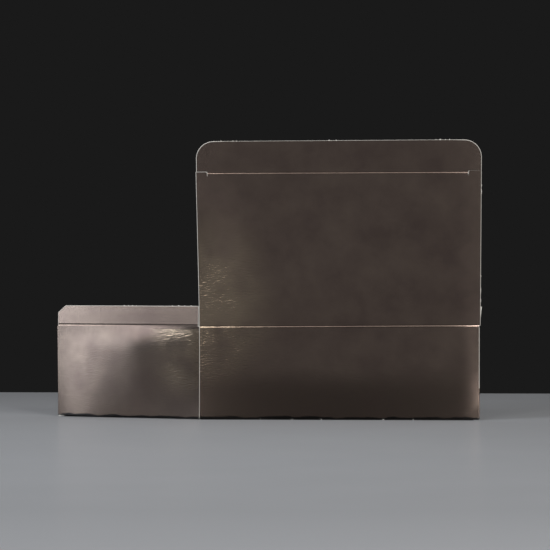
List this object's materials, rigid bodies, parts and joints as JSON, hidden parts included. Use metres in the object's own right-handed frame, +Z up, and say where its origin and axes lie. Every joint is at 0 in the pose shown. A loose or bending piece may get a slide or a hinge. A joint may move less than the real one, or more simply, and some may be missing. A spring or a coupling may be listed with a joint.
{
  "type": "takeaway chicken box",
  "caption": "Shallow oblong folding carton with a hinged slit-lock tuck lid, dust flaps and a crash-lock bottom, standing half opened from flat with its lid up.",
  "frame": {"origin": "middle of the footprint of the half-opened box with its open lid, on the surface that it stands on", "axes": "+X along the back wall and the lid crease, +Y from the lid's wall to the opposite wall, +Z up"},
  "size_m": [0.3206, 0.0672, 0.207],
  "materials": {
    "metallised_board": "satin"
  },
  "bodies": {
    "carton_body": {"carton_body": "metallised_board"},
    "lid": {"lid": "metallised_board"},
    "tuck_flap": {"tuck_flap": "metallised_board"},
    "dust_flap_left": {"dust_flap_left": "metallised_board"},
    "dust_flap_right": {"dust_flap_right": "metallised_board"}
  },
  "joints": [
    {"name": "lid_hinge", "type": "hinge", "parent": "carton_body", "child": "lid", "pos_m": [0.05494, -0.00426, 0.07], "axis": [-1, 0, 0], "range_deg": [-88, 12]},
    {"name": "tuck_hinge", "type": "hinge", "parent": "lid", "child": "tuck_flap", "pos_m": [0.05494, -0.02848, 0.18395], "axis": [-1, 0, 0], "range_deg": [-30, 95]},
    {"name": "dust_left_hinge", "type": "hinge", "parent": "carton_body", "child": "dust_flap_left", "pos_m": [-0.10528, 0.01461, 0.0708], "axis": [-0.9483, 0.3173, 0], "range_deg": [-90, 90]},
    {"name": "dust_right_hinge", "type": "hinge", "parent": "carton_body", "child": "dust_flap_right", "pos_m": [0.10355, 0.01484, 0.0708], "axis": [0.9483, -0.3173, 0], "range_deg": [-90, 0]}
  ]
}
